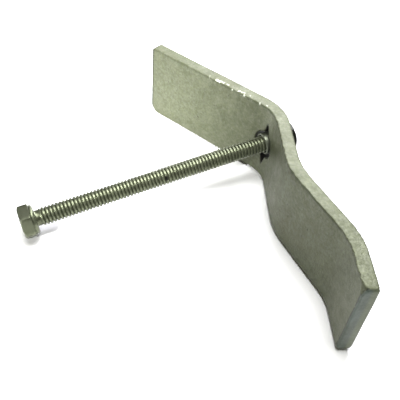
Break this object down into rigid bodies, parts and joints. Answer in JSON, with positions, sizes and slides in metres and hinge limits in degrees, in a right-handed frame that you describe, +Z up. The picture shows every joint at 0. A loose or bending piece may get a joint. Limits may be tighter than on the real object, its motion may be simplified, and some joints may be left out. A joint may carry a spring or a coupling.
{
  "type": "bolted strap clamp",
  "caption": "Bent galvanised strap with a long full-thread hex bolt through the hole in its bend, in a hex nut whose round collar sits in the hole.",
  "frame": {"origin": "middle of the strap's wall at the main bend, on the strap's lower edge", "axes": "+X along the strap towards its joggled arm, +Y away from the bolt head, +Z up across the strap's width"},
  "size_m": [0.1363, 0.1056, 0.0321],
  "materials": {
    "galvanised": "hot-dip galvanised, matte, mottled",
    "plated_bolt": "zinc plated, satin",
    "plated_nut": "zinc plated, satin"
  },
  "bodies": {
    "strap_body": {"strap": "galvanised"},
    "bolt_body": {"hex_bolt": "plated_bolt"},
    "nut_body": {"hex_nut": "plated_nut"}
  },
  "joints": [
    {"name": "bolt_feed", "type": "slide", "parent": "strap_body", "child": "bolt_body", "axis": [0.0598, 0.9913, 0.1175], "range_m": [-0.0106, 0.0851]},
    {"name": "nut_turn", "type": "hinge", "parent": "strap_body", "child": "nut_body", "pos_m": [0, 0, 0.01675], "axis": [-0.0598, -0.9913, -0.1175], "range_deg": [-3010, 24130]}
  ],
  "couplings": [
    {"joint": "nut_turn", "follows": "bolt_feed", "rad_per_m": 4947.4}
  ]
}
